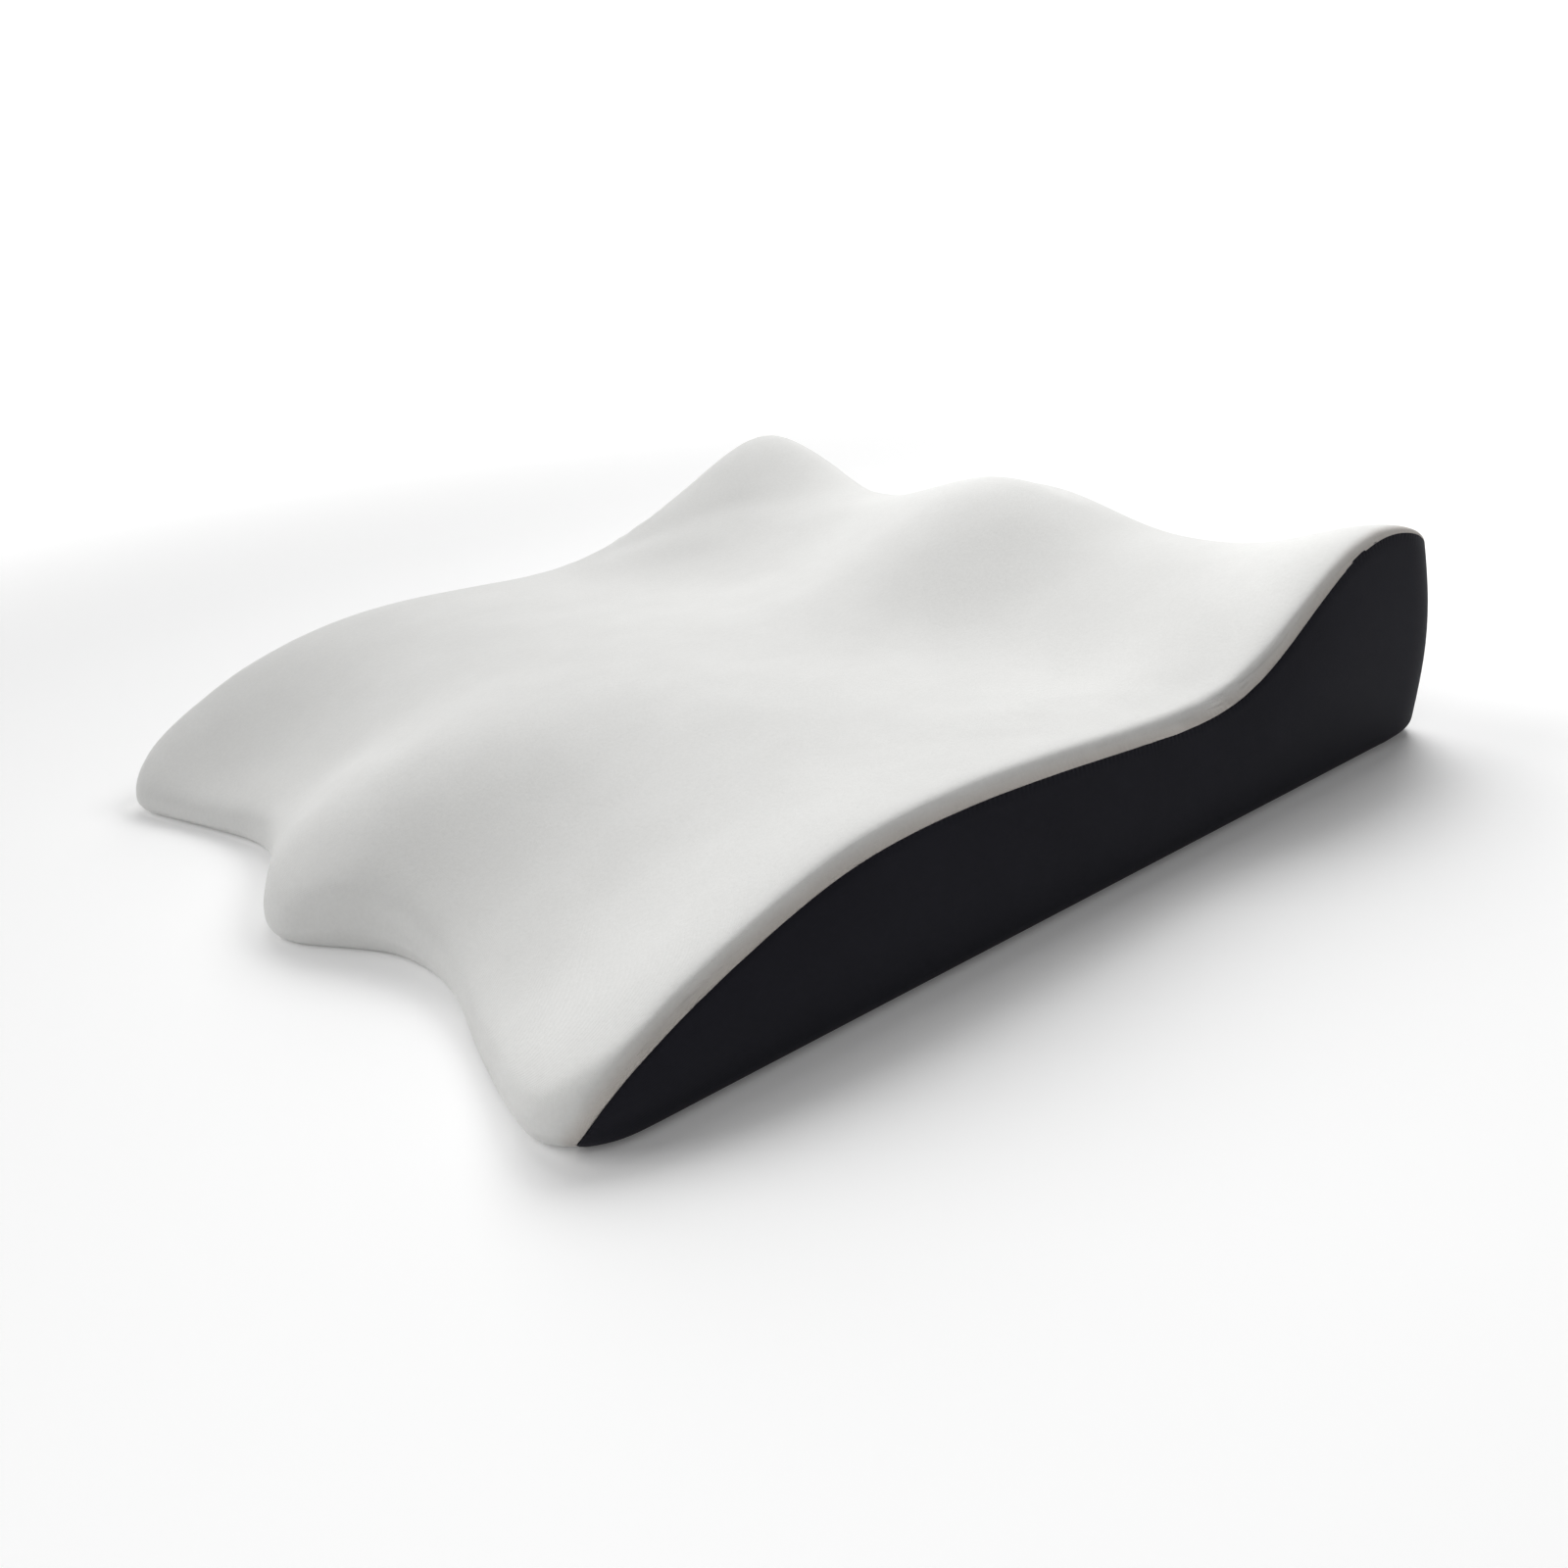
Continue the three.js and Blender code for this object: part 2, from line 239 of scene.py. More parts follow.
@dataclass(frozen=True)
class ClothFinish:
    """One cloth: its colours, its threads and how it takes the light."""

    name: str
    colour: tuple[float, float, float]
    shade: tuple[float, float, float]
    weave: Weave
    pitch: float
    relief: float
    patch: float
    roughness: tuple[float, float]
    sheen: float
    sheen_tint: tuple[float, float, float]
    grain: float
    gloss: float
    # A warm dark tint multiplied into the colour within reach of the seam: painted shade, not a colour
    # of the cloth
    painted_shade_tint: tuple[float, float, float] = (1.0, 1.0, 1.0)
    painted_shade_reach: float = 10 * MM
    sheen_roughness: float = 0.5
    thread_share: float = 0.3
    grain_share: float = 1.0
    mask_range: tuple[float, float] = (0.75, 1.55)
    needle_depth: float = 0.35 * MM

    def material(self) -> bpy.types.Material:
        """Makes the material.

        Returns:
            The new material.
        """
        made = bpy.data.materials.new(self.name)
        made.use_nodes = True
        tree = made.node_tree
        tree.nodes.clear()
        link = tree.links.new
        shader = add_node(tree, "ShaderNodeBsdfPrincipled")
        output = add_node(tree, "ShaderNodeOutputMaterial")
        link(shader.outputs[0], output.inputs["Surface"])
        shader.inputs["Sheen Weight"].default_value = self.sheen
        shader.inputs["Sheen Roughness"].default_value = self.sheen_roughness
        shader.inputs["Sheen Tint"].default_value = (*self.sheen_tint, 1)
        shader.inputs["Specular IOR Level"].default_value = self.gloss

        threads = self._threads(tree)
        mottle = self._patches(tree, self.patch)
        fuzz = self._patches(tree, self.grain)
        cloth = self._cloth_colour(tree, threads, mottle, fuzz)
        # The cloth's colour, with painted shade beside the seam
        link(self._paint_shade_by_seam(tree, cloth), shader.inputs["Base Color"])
        rough = add_node(tree, "ShaderNodeMapRange")
        rough.inputs["To Min"].default_value = self.roughness[0]
        rough.inputs["To Max"].default_value = self.roughness[1]
        link(fuzz, rough.inputs["Value"])
        link(rough.outputs[0], shader.inputs["Roughness"])
        link(self._relief(tree, threads, fuzz), shader.inputs["Normal"])
        return made

    def _threads(self, tree: bpy.types.NodeTree) -> bpy.types.NodeSocket:
        """Adds the threads, which follow the cloth.

        Args:
            tree: The material's nodes.

        Returns:
            The threads' height.
        """
        cloth = add_node(tree, "ShaderNodeUVMap", uv_map=ClothMesh.UV_NAME)
        threads = add_node(tree, "ShaderNodeGroup", node_tree=thread_group(self.weave))
        threads.inputs["Pitch"].default_value = self.pitch
        tree.links.new(cloth.outputs["UV"], threads.inputs["Vector"])
        return threads.outputs["Height"]

    @staticmethod
    def _patches(tree: bpy.types.NodeTree, size: float) -> bpy.types.NodeSocket:
        """Adds soft patches.

        Args:
            tree: The material's nodes.
            size: How large the patches are.

        Returns:
            The patches' mask.
        """
        place = add_node(tree, "ShaderNodeTexCoord")
        patches = add_node(tree, "ShaderNodeGroup", node_tree=mottle_group())
        patches.inputs["Patch"].default_value = size
        tree.links.new(place.outputs["Object"], patches.inputs["Vector"])
        return patches.outputs["Mask"]

    def _cloth_colour(
        self,
        tree: bpy.types.NodeTree,
        threads: bpy.types.NodeSocket,
        mottle: bpy.types.NodeSocket,
        fuzz: bpy.types.NodeSocket,
    ) -> bpy.types.NodeSocket:
        """Mixes the two shades of the cloth.

        Args:
            tree: The material's nodes.
            threads: The threads' height.
            mottle: The mask of the wide patches.
            fuzz: The mask of the fine grain.

        Returns:
            The colour.
        """
        link = tree.links.new
        factor = mottle
        for mask, share in ((threads, self.thread_share), (fuzz, self.grain_share)):
            both = add_node(tree, "ShaderNodeMath", operation="MULTIPLY_ADD")
            link(mask, both.inputs[0])
            both.inputs[1].default_value = share
            link(factor, both.inputs[2])
            factor = both.outputs[0]
        spread = add_node(tree, "ShaderNodeMapRange")
        spread.inputs["From Min"].default_value = self.mask_range[0]
        spread.inputs["From Max"].default_value = self.mask_range[1]
        link(factor, spread.inputs["Value"])
        blend = add_node(tree, "ShaderNodeMix", data_type="RGBA")
        blend.inputs["A"].default_value = (*self.shade, 1)
        blend.inputs["B"].default_value = (*self.colour, 1)
        link(spread.outputs[0], blend.inputs["Factor"])
        return blend.outputs["Result"]

    def _paint_shade_by_seam(
        self, tree: bpy.types.NodeTree, cloth: bpy.types.NodeSocket
    ) -> bpy.types.NodeSocket:
        """Paints shade into the cloth beside the seam: a warm dark tint multiplies its colour there, a
        painted shade rather than a colour of the cloth.

        Args:
            tree: The material's nodes.
            cloth: The cloth's colour.

        Returns:
            The colour, with the painted shade.
        """
        gap = add_node(tree, "ShaderNodeAttribute", attribute_name=SeamLine.GAP_NAME)
        painted_shade_mask = add_node(tree, "ShaderNodeMapRange", interpolation_type="SMOOTHSTEP")
        painted_shade_mask.inputs["From Min"].default_value = self.painted_shade_reach
        painted_shade_mask.inputs["From Max"].default_value = 0.0
        tree.links.new(gap.outputs["Fac"], painted_shade_mask.inputs["Value"])
        # Painted shade: the colour is multiplied by the warm dark tint close to the seam
        shaded_colour = add_node(tree, "ShaderNodeMix", data_type="RGBA", blend_type="MULTIPLY")
        shaded_colour.inputs["B"].default_value = (*self.painted_shade_tint, 1)
        tree.links.new(painted_shade_mask.outputs[0], shaded_colour.inputs["Factor"])
        tree.links.new(cloth, shaded_colour.inputs["A"])
        return shaded_colour.outputs["Result"]

    def _relief(
        self,
        tree: bpy.types.NodeTree,
        threads: bpy.types.NodeSocket,
        fuzz: bpy.types.NodeSocket,
    ) -> bpy.types.NodeSocket:
        """Adds the grain, the threads and the needle's dimples, one on the other.

        Args:
            tree: The material's nodes.
            threads: The threads' height.
            fuzz: The mask of the fine grain.

        Returns:
            The normal.
        """
        needle = add_node(tree, "ShaderNodeGroup", node_tree=needle_group())
        for socket, attribute in (("Run", SeamLine.RUN_NAME), ("Gap", SeamLine.GAP_NAME)):
            reader = add_node(tree, "ShaderNodeAttribute", attribute_name=attribute)
            tree.links.new(reader.outputs["Fac"], needle.inputs[socket])
        dimples = needle.outputs["Height"]
        normal = None
        heights = ((fuzz, self.relief), (threads, self.relief), (dimples, self.needle_depth))
        for height, depth in heights:
            bump = add_node(tree, "ShaderNodeBump")
            bump.inputs["Distance"].default_value = depth
            bump.inputs["Strength"].default_value = 1.0
            tree.links.new(height, bump.inputs["Height"])
            if normal is not None:
                tree.links.new(normal, bump.inputs["Normal"])
            normal = bump.outputs["Normal"]
        return normal


LIGHT_KNIT = ClothFinish(
    name="light_knit",
    colour=(0.80, 0.80, 0.785),
    shade=(0.74, 0.74, 0.725),
    weave=Weave.KNIT,
    pitch=0.9 * MM,
    relief=0.16 * MM,
    patch=0.045,
    roughness=(0.82, 0.95),
    sheen=0.15,
    sheen_tint=(1.0, 1.0, 1.0),
    grain=2.2 * MM,
    gloss=0.20,
    # Painted shade: darkens the light strip beside the seam
    painted_shade_tint=(0.77, 0.72, 0.685),
)
DARK_CLOTH = ClothFinish(
    name="dark_cloth",
    colour=(0.0140, 0.0138, 0.0195),
    shade=(0.0092, 0.0090, 0.0132),
    weave=Weave.PLAIN,
    pitch=0.8 * MM,
    relief=0.06 * MM,
    patch=0.05,
    roughness=(0.62, 0.85),
    sheen=0.05,
    sheen_tint=(0.6, 0.62, 0.7),
    grain=1.5 * MM,
    gloss=0.10,
)
DARK_BASE = ClothFinish(
    name="dark_base",
    colour=(0.0150, 0.0150, 0.0170),
    shade=(0.0110, 0.0110, 0.0120),
    weave=Weave.PLAIN,
    pitch=1.6 * MM,
    relief=0.12 * MM,
    patch=0.05,
    roughness=(0.75, 0.92),
    sheen=0.03,
    sheen_tint=(0.6, 0.6, 0.6),
    grain=2.0 * MM,
    gloss=0.10,
)


@dataclass
class ClothMesh:
    """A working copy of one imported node, as quads that can be subdivided smoothly."""

    UV_NAME = "cloth_uv"

    node: str

    def quads(self) -> bmesh.types.BMesh:
        """Copies the node, merges its loose triangles and joins them into quads.

        Returns:
            The new bmesh.
        """
        bm = bmesh.new()
        bm.from_mesh(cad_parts[self.node].data)
        bmesh.ops.remove_doubles(bm, verts=bm.verts[:], dist=MERGE_WITHIN)
        bmesh.ops.join_triangles(
            bm,
            faces=bm.faces[:],
            angle_face_threshold=math.pi,
            angle_shape_threshold=math.pi,
        )
        bm.edges.layers.float.new(CREASE_LAYER)
        return bm

    @classmethod
    def lay_threads(cls, mesh: bpy.types.Mesh) -> None:
        """Lays the cloth's threads flat on each face, in metres, by the way the face looks.

        Args:
            mesh: A finished mesh.
        """
        bm = bmesh.new()
        bm.from_mesh(mesh)
        layer = bm.loops.layers.uv.new(cls.UV_NAME)
        for face in bm.faces:
            size = [abs(part) for part in face.normal]
            axis = size.index(max(size))
            first, second = [(1, 2), (0, 2), (0, 1)][axis]
            for loop in face.loops:
                loop[layer].uv = (loop.vert.co[first], loop.vert.co[second])
        bm.to_mesh(mesh)
        bm.free()


@dataclass
class SeamLine:
    """The line where the light cover meets the dark band, from front tip to front tip.

    It is a walk along the sharpest convex edges of the cover, each at least least_fold sharp and
    above the foot of the walls, that never turns back further than least_onward allows.
    """

    RUN_NAME = "seam_run"
    GAP_NAME = "seam_gap"

    least_fold: float = math.radians(20)
    least_onward: float = 0.3
    above: float = 4 * MM
    tip_below: float = 7 * MM
    step: float = 2 * MM
    edges: list[bmesh.types.BMEdge] = field(default_factory=list)
    points: list[Vector] = field(default_factory=list)
    runs: list[float] = field(default_factory=list)
    tree: KDTree | None = None

    def find(self, cover: bmesh.types.BMesh) -> None:
        """Walks the fold at the foot of the light strip, from the right front tip to the left one.

        Args:
            cover: The cover's quads, before they are subdivided.
        """
        chain = self._walk(self._folds(cover))
        self._measure(chain)
        LOG.info("seam: ends at %s mm", [round(part / MM) for part in chain[-1]])
        LOG.info("seam: %d points, %.2f m long", len(self.points), self.runs[-1])

    def _folds(
        self, cover: bmesh.types.BMesh
    ) -> dict[bmesh.types.BMVert, list[bmesh.types.BMEdge]]:
        """Gathers the folds that the seam may follow.

        Args:
            cover: The cover's quads.

        Returns:
            The folds that meet at each vertex.
        """
        folds = [
            edge for edge in cover.edges
            if edge.is_manifold and edge.is_convex and edge.calc_face_angle() > self.least_fold
            and min(vert.co.z for vert in edge.verts) > self.above
        ]
        links: dict[bmesh.types.BMVert, list[bmesh.types.BMEdge]] = {}
        for edge in folds:
            for vert in edge.verts:
                links.setdefault(vert, []).append(edge)
        return links

    def _walk(self, links: dict[bmesh.types.BMVert, list[bmesh.types.BMEdge]]) -> list[Vector]:
        """Walks along the sharpest fold from the right front tip.

        Args:
            links: The folds that meet at each vertex.

        Returns:
            The places that the walk passes.
        """
        tips = [
            vert for vert, edges in links.items()
            if vert.co.z < self.tip_below and max(edge.calc_face_angle() for edge in edges) > FOLD_ANGLE
        ]
        here = min(tips, key=lambda vert: vert.co.x + vert.co.y)
        # The seam leaves the tip upwards and to the right
        ahead = Vector((0, -1, 1)).normalized()
        chain = [here.co.copy()]
        self.edges = []
        while True:
            onward = []
            for edge in links[here]:
                way = (edge.other_vert(here).co - here.co).normalized()
                if edge not in self.edges and way.dot(ahead) > self.least_onward:
                    onward.append((edge.calc_face_angle(), edge))
            if not onward:
                break
            edge = max(onward, key=lambda pair: pair[0])[1]
            ahead = (edge.other_vert(here).co - here.co).normalized()
            here = edge.other_vert(here)
            self.edges.append(edge)
            chain.append(here.co.copy())
        return chain

    def _measure(self, chain: list[Vector]) -> None:
        """Lays evenly spaced points along the seam and measures each one's run.

        Args:
            chain: The places that the seam passes.
        """
        self.points, self.runs = [], []
        run = 0.0
        for start, end in zip(chain, chain[1:]):
            length = (end - start).length
            count = max(1, round(length / self.step))
            for i in range(count):
                self.points.append(start.lerp(end, i / count))
                self.runs.append(run + length * i / count)
            run += length
        self.tree = KDTree(len(self.points))
        for i, point in enumerate(self.points):
            self.tree.insert(point, i)
        self.tree.balance()

    def nearest(self, place: Vector) -> tuple[float, float, float]:
        """Measures a place against the seam.

        Args:
            place: The place.

        Returns:
            How far along the seam it is, how far from it, and how high above it.
        """
        point, i, distance = self.tree.find(place)
        return self.runs[i], distance, place.z - point.z

    def mark(self, mesh: bpy.types.Mesh) -> None:
        """Writes each vertex's place along the seam and its distance from it as attributes.

        Args:
            mesh: A finished mesh.
        """
        run = mesh.attributes.new(self.RUN_NAME, "FLOAT", "POINT")
        gap = mesh.attributes.new(self.GAP_NAME, "FLOAT", "POINT")
        for i, vert in enumerate(mesh.vertices):
            along, distance, _ = self.nearest(vert.co)
            run.data[i].value = along
            gap.data[i].value = distance


def link_piece(name: str, bm: bmesh.types.BMesh, finish: ClothFinish) -> bpy.types.Object:
    """Makes a shown object of a bmesh.

    Args:
        name: The object's name.
        bm: Its mesh, which is freed.
        finish: Its cloth.

    Returns:
        The new object.
    """
    mesh = bpy.data.meshes.new(name)
    bm.to_mesh(mesh)
    bm.free()
    mesh.materials.append(finish.material())
    for polygon in mesh.polygons:
        polygon.use_smooth = True
    piece = bpy.data.objects.new(name, mesh)
    bpy.context.scene.collection.objects.link(piece)
    return piece


def apply_modifiers(piece: bpy.types.Object) -> None:
    """Turns what an object's modifiers show into its own mesh.

    Args:
        piece: The object.
    """
    graph = bpy.context.evaluated_depsgraph_get()
    made = bpy.data.meshes.new_from_object(piece.evaluated_get(graph), depsgraph=graph)
    piece.modifiers.clear()
    old = piece.data
    piece.data = made
    made.name = piece.name
    bpy.data.meshes.remove(old)


def subdivide(piece: bpy.types.Object, levels: int) -> None:
    """Rounds a mesh with Catmull-Clark subdivision and applies it.

    Args:
        piece: The object.
        levels: How many times.
    """
    modifier = piece.modifiers.new("round", "SUBSURF")
    modifier.levels = levels
    modifier.render_levels = levels
    apply_modifiers(piece)


def crease_folds(bm: bmesh.types.BMesh, crease: float, more: list[bmesh.types.BMEdge]) -> None:
    """Keeps the folds of a mesh crisp when it is rounded, and the rims of its flat underside sharp.

    Args:
        bm: The mesh.
        crease: How crisp the folds stay, from 0 to 1.
        more: Further edges to keep as crisp as the folds.
    """
    layer = bm.edges.layers.float[CREASE_LAYER]
    for edge in more:
        edge[layer] = crease
    for edge in bm.edges:
        if edge.is_manifold and edge.calc_face_angle() > FOLD_ANGLE:
            under = any(
                abs(face.normal.z) > FLAT_NORMAL and face.calc_area() > WIDE_FACE
                for face in edge.link_faces
            )
            edge[layer] = 1.0 if under else crease


def keep_form(bm: bmesh.types.BMesh) -> None:
    """Moves each vertex, by FORM_REACH at most, so that the rounded surface stays near its old place.

    Args:
        bm: The mesh, before it is subdivided.
    """
    mesh = bpy.data.meshes.new("form")
    bm.to_mesh(mesh)
    trial = bpy.data.objects.new("form", mesh)
    bpy.context.scene.collection.objects.link(trial)
    subdivide(trial, 1)
    for vert, rounded in zip(bm.verts, trial.data.vertices):
        move = vert.co - rounded.co
        vert.co += move * min(1.0, FORM_REACH / max(move.length, MERGE_WITHIN))
    rounded_mesh = trial.data
    bpy.data.objects.remove(trial)
    bpy.data.meshes.remove(rounded_mesh)


@dataclass
class LightCover:
    """The filled pillow in its light knit cover, with its three front prongs and its side strip.

    The share in kept of the filling's press is kept, and cap at most. Each gather has its middle
    along the seam, its half width and its depth.
    """

    name: str = "light_cover"
    node: str = "filled_top"
    finish: ClothFinish = LIGHT_KNIT
    crease: float = 0.9
    slack: float = 1.5 * MM
    pressure: float = 4.0
    frames: int = 20
    quality: int = 5
    kept: float = 0.35
    cap: float = 3 * MM
    held_below: float = 14 * MM
    pucker: float = 0.25 * MM
    pucker_size: float = 9 * MM
    pucker_seed: float = 0.5
    gathers: tuple[tuple[float, float, float], ...] = (
        (0.08, 0.04, 1.0 * MM),
        (0.40, 0.05, 3.2 * MM),
        (1.42, 0.05, 2.4 * MM),
    )
    strip: float = 12 * MM
    strip_foot: float = -0.2 * MM
    fill: float = 0.9

    def build(self, seam: SeamLine) -> bpy.types.Object:
        """Builds the cover.

        Args:
            seam: The seam line, which is found here.

        Returns:
            The cover.
        """
        bm = ClothMesh(self.node).quads()
        seam.find(bm)
        crease_folds(bm, self.crease, seam.edges)
        keep_form(bm)
        piece = link_piece(self.name, bm, self.finish)
        subdivide(piece, 1)
        self._fill(piece, seam)
        subdivide(piece, 1)
        self._pucker_strip(piece, seam)
        self._dress(piece, seam)
        return piece

    def _fill(self, piece: bpy.types.Object, seam: SeamLine) -> None:
        """Draws the free top in a little, then lets the filling press it out again.

        Args:
            piece: The cover, subdivided once.
            seam: The seam line.
        """
        mesh = piece.data
        rest = [vert.co.copy() for vert in mesh.vertices]
        free = []
        for vert in mesh.vertices:
            _, gap, _ = seam.nearest(vert.co)
            low = vert.co.z < self.held_below
            share = 0.0 if low else min(max((gap - self.strip) / (2 * self.strip), 0.0), 1.0)
            free.append(share * share * (3 - 2 * share))
        outward = [vert.normal.copy() for vert in mesh.vertices]
        for vert, share, normal in zip(mesh.vertices, free, outward):
            vert.co = vert.co - normal * self.slack * share
        pins = piece.vertex_groups.new(name="held")
        for i, share in enumerate(free):
            pins.add([i], 1.0 - share, "REPLACE")
        cloth = piece.modifiers.new("fill", "CLOTH")
        settings = cloth.settings
        settings.use_pressure = True
        settings.uniform_pressure_force = self.pressure
        settings.vertex_group_mass = "held"
        settings.effector_weights.gravity = 0.0
        settings.quality = self.quality
        cloth.collision_settings.use_collision = False
        scene = bpy.context.scene
        scene.frame_start = 1
        scene.frame_end = self.frames
        for number in range(1, self.frames + 1):
            scene.frame_set(number)
        apply_modifiers(piece)
        scene.frame_set(1)
        presses = []
        for vert, start in zip(piece.data.vertices, rest):
            move = (vert.co - start) * self.kept
            vert.co = start + move * min(1.0, self.cap / max(move.length, MERGE_WITHIN))
            presses.append(move.length)
        capped = sum(press > self.cap for press in presses) / len(presses)
        LOG.info(
            "filling: a press of up to %.1f mm, and %.0f %% of the points are held back to %.1f mm",
            max(presses) / MM, 100 * capped, self.cap / MM,
        )

    def _pucker_strip(self, piece: bpy.types.Object, seam: SeamLine) -> None:
        """Puckers the strip a little all along, and more in the places where the seam gathers it.

        Args:
            piece: The cover.
            seam: The seam line.
        """
        outward = [vert.normal.copy() for vert in piece.data.vertices]
        for vert, normal in zip(piece.data.vertices, outward):
            run, gap, rise = seam.nearest(vert.co)
            if rise < self.strip_foot or gap > self.strip:
                continue
            depth = self.pucker
            for middle, width, gather in self.gathers:
                depth += gather * math.exp(-(((run - middle) / width) ** 2))
            fade = math.sin(math.pi * gap / self.strip)
            across = rise / (2 * self.pucker_size)
            spot = Vector((run / self.pucker_size, across, self.pucker_seed))
            vert.co += normal * (depth * fade * noise.noise(spot))

    def _dress(self, piece: bpy.types.Object, seam: SeamLine) -> None:
        """Lays the threads and says what the piece is.

        Args:
            piece: The cover.
            seam: The seam line.
        """
        ClothMesh.lay_threads(piece.data)
        seam.mark(piece.data)
        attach(piece, "root")
        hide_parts(self.node)


@dataclass
class ClothSheet:
    """A sewn-on panel of thin dark cloth."""

    name: str
    node: str
    slot: str
    finish: ClothFinish
    flat: tuple[float, float]
    area: float
    held: str
    levels: int
    crease: float = 0.55

    def build(self, seam: SeamLine, rests_on: bpy.types.Object) -> bpy.types.Object:
        """Builds the panel.

        Args:
            seam: The seam line.
            rests_on: The piece that it lies on; not used.

        Returns:
            The panel.
        """
        bm = ClothMesh(self.node).quads()
        crease_folds(bm, self.crease, [])
        keep_form(bm)
        piece = link_piece(self.name, bm, self.finish)
        subdivide(piece, self.levels)
        ClothMesh.lay_threads(piece.data)
        seam.mark(piece.data)
        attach(piece, "root")
        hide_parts(self.node)
        return piece


@dataclass(frozen=True)
class SoftSun:
    """A very wide and far light."""

    name: str
    azimuth: float
    height: float
    power: float
    angle: float = math.radians(50)
    distance: float = 7.0

    def build(self) -> None:
        """Builds the light."""
        level = math.cos(self.height)
        direction = Vector((
            level * math.cos(self.azimuth),
            level * math.sin(self.azimuth),
            math.sin(self.height),
        ))
        lamp = bpy.data.lights.new(self.name, "SUN")
        lamp.angle = self.angle
        lamp.energy = self.power
        sun = bpy.data.objects.new(self.name, lamp)
        sun.location = direction * self.distance
        sun.rotation_euler = direction.to_track_quat("Z", "Y").to_euler()
        bpy.context.scene.collection.objects.link(sun)


@dataclass(frozen=True)
class DiskLamp:
    """A near round lamp that looks at the pillow."""

    name: str
    place: tuple[float, float, float]
    power: float
    size: float = 0.6

    def build(self) -> None:
        """Builds the lamp."""
        lamp = bpy.data.lights.new(self.name, "AREA")
        lamp.shape = "DISK"
        lamp.size = self.size
        lamp.energy = self.power
        disk = bpy.data.objects.new(self.name, lamp)
        disk.location = self.place
        disk.rotation_euler = Vector(self.place).to_track_quat("Z", "Y").to_euler()
        bpy.context.scene.collection.objects.link(disk)


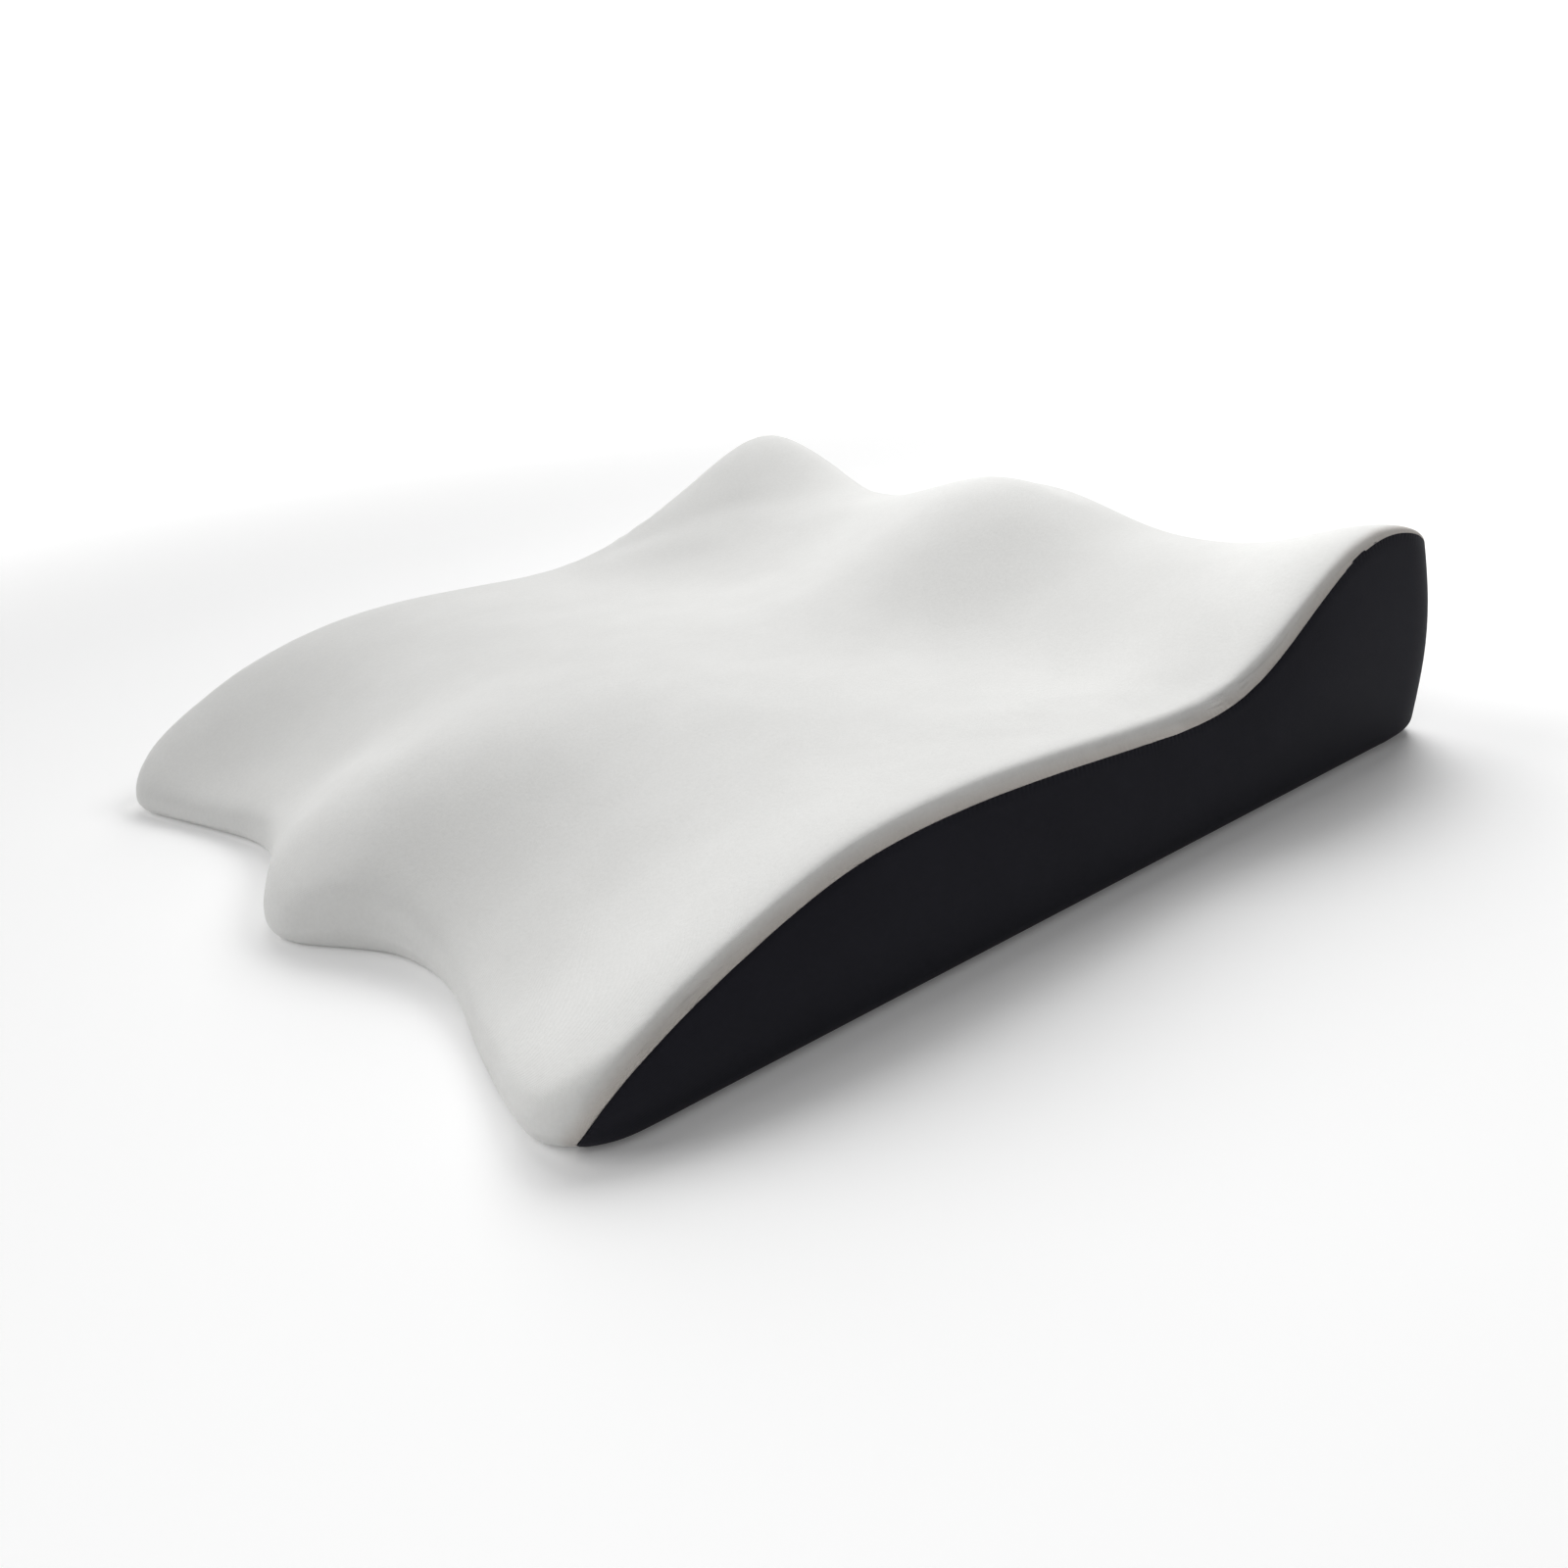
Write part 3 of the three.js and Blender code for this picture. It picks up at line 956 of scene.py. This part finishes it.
@dataclass
class Studio:
    """A pale floor that curves up behind the pillow, soft lights and the camera."""

    floor_size: float = 14.0
    floor_colour: tuple[float, float, float] = (0.90, 0.90, 0.90)
    floor_roughness: float = 0.9
    floor_gloss: float = 0.1
    floor_glow: tuple[float, float] = (0.08, 0.85)
    glow_reach: tuple[float, float] = (0.7, 2.6)
    bend_radius: float = 1.3
    bend_start: float = 3.0
    bend_steps: int = 24
    camera_place: tuple[float, float, float] = (-0.4939, -0.7190, 0.3425)
    yaw: float = math.radians(53.82)
    pitch: float = math.radians(22.26)
    roll: float = math.radians(-6.09)
    lens: float = 34.16
    sensor: float = 36.0
    suns: tuple[SoftSun, ...] = (
        SoftSun("behind", azimuth=math.radians(52), height=math.radians(40), power=1.68),
        SoftSun("left", azimuth=math.radians(130), height=math.radians(32), power=1.32),
    )
    lamps: tuple[DiskLamp, ...] = (
        DiskLamp("back", place=(0.7, 0.0, 0.9), power=5.4),
        DiskLamp("front", place=(-0.6, -0.6, 0.7), power=1.0),
    )
    fill_level: float = 0.14

    def build(self) -> None:
        """Builds the floor, the lights and the camera."""
        self._floor()
        self._lights()
        self._camera()

    def _floor(self) -> None:
        """Makes the floor, with a back that curves up out of view."""
        bm = bmesh.new()
        half = self.floor_size / 2
        ends = [bm.verts.new((-half, side * half, 0)) for side in (-1, 1)]
        edge = bm.edges.new(ends)
        out = bmesh.ops.extrude_edge_only(bm, edges=[edge])
        moved = [item for item in out["geom"] if isinstance(item, bmesh.types.BMVert)]
        bmesh.ops.translate(bm, verts=moved, vec=(half + self.bend_start, 0, 0))
        last = [item for item in out["geom"] if isinstance(item, bmesh.types.BMEdge)]
        bmesh.ops.spin(
            bm,
            geom=last,
            cent=(self.bend_start, 0, self.bend_radius),
            axis=(0, -1, 0),
            angle=math.pi / 2,
            steps=self.bend_steps,
            use_merge=False,
        )
        bmesh.ops.recalc_face_normals(bm, faces=bm.faces[:])
        turn = Matrix.Rotation(self.yaw, 3, "Z")
        bmesh.ops.rotate(bm, verts=bm.verts[:], cent=(0, 0, 0), matrix=turn)
        if bm.faces[:][0].normal.z < 0:
            bmesh.ops.reverse_faces(bm, faces=bm.faces[:])
        mesh = bpy.data.meshes.new("floor")
        bm.to_mesh(mesh)
        bm.free()
        for polygon in mesh.polygons:
            polygon.use_smooth = True
        mesh.materials.append(self._floor_material())
        floor = bpy.data.objects.new("floor", mesh)
        bpy.context.scene.collection.objects.link(floor)

    def _floor_material(self) -> bpy.types.Material:
        """Makes a matt pale floor that glows away from the pillow, so that it stays evenly light.

        Returns:
            The new material.
        """
        made = bpy.data.materials.new("pale_floor")
        made.use_nodes = True
        tree = made.node_tree
        shader = tree.nodes["Principled BSDF"]
        shader.inputs["Base Color"].default_value = (*self.floor_colour, 1)
        shader.inputs["Roughness"].default_value = self.floor_roughness
        shader.inputs["Specular IOR Level"].default_value = self.floor_gloss
        shader.inputs["Emission Strength"].default_value = 1.0
        place = add_node(tree, "ShaderNodeTexCoord")
        reach = add_node(tree, "ShaderNodeVectorMath", operation="LENGTH")
        glow = add_node(tree, "ShaderNodeMapRange", interpolation_type="SMOOTHSTEP")
        glow.inputs["From Min"].default_value = self.glow_reach[0]
        glow.inputs["From Max"].default_value = self.glow_reach[1]
        glow.inputs["To Min"].default_value = self.floor_glow[0]
        glow.inputs["To Max"].default_value = self.floor_glow[1]
        tree.links.new(place.outputs["Object"], reach.inputs[0])
        tree.links.new(reach.outputs["Value"], glow.inputs["Value"])
        tree.links.new(glow.outputs[0], shader.inputs["Emission Color"])
        return made

    def _lights(self) -> None:
        """Makes the soft lights and an even fill."""
        for light in (*self.suns, *self.lamps):
            light.build()
        world = bpy.data.worlds.new("fill")
        world.use_nodes = True
        sky = world.node_tree.nodes["Background"]
        sky.inputs["Color"].default_value = (1, 1, 1, 1)
        sky.inputs["Strength"].default_value = self.fill_level
        bpy.context.scene.world = world

    def _camera(self) -> None:
        """Sets the camera where the photograph was taken from."""
        forward = Vector((
            math.cos(self.pitch) * math.cos(self.yaw),
            math.cos(self.pitch) * math.sin(self.yaw),
            -math.sin(self.pitch),
        ))
        level = forward.cross(Vector((0, 0, 1))).normalized()
        upright = level.cross(forward)
        right = level * math.cos(self.roll) + upright * math.sin(self.roll)
        up = upright * math.cos(self.roll) - level * math.sin(self.roll)
        turn = Matrix((right, up, -forward)).transposed().to_4x4()
        lens = bpy.data.cameras.new("camera")
        lens.lens = self.lens
        lens.sensor_width = self.sensor
        camera = bpy.data.objects.new("camera", lens)
        camera.matrix_world = Matrix.Translation(self.camera_place) @ turn
        bpy.context.scene.collection.objects.link(camera)
        bpy.context.scene.camera = camera
        bpy.context.scene.view_settings.view_transform = "Standard"


def report(piece: bpy.types.Object) -> None:
    """Logs a piece's name, size and faces.

    Args:
        piece: The object.
    """
    size = [round(side / MM, 1) for side in piece.dimensions]
    LOG.info("%s: %s mm, %d faces", piece.name, size, len(piece.data.polygons))


def main() -> None:
    """Builds the pillow and its studio."""
    logging.basicConfig(level=logging.INFO, format="%(name)s %(message)s")
    Studio().build()
    seam = SeamLine()
    cover = LightCover().build(seam)
    report(cover)
    band = ClothSheet(
        name="dark_side_panel",
        node="side_band",
        slot="dark_cloth",
        finish=DARK_CLOTH,
        flat=(0.137, 1.74),
        area=0.150,
        held="stretched",
        levels=2,
    )
    report(band.build(seam, cover))
    base = ClothSheet(
        name="dark_base_panel",
        node="base_panel",
        slot="dark_base",
        finish=DARK_BASE,
        flat=(0.563, 0.571),
        area=0.301,
        held="stretched",
        levels=1,
    )
    report(base.build(seam, cover))


if __name__ == "__main__":
    main()
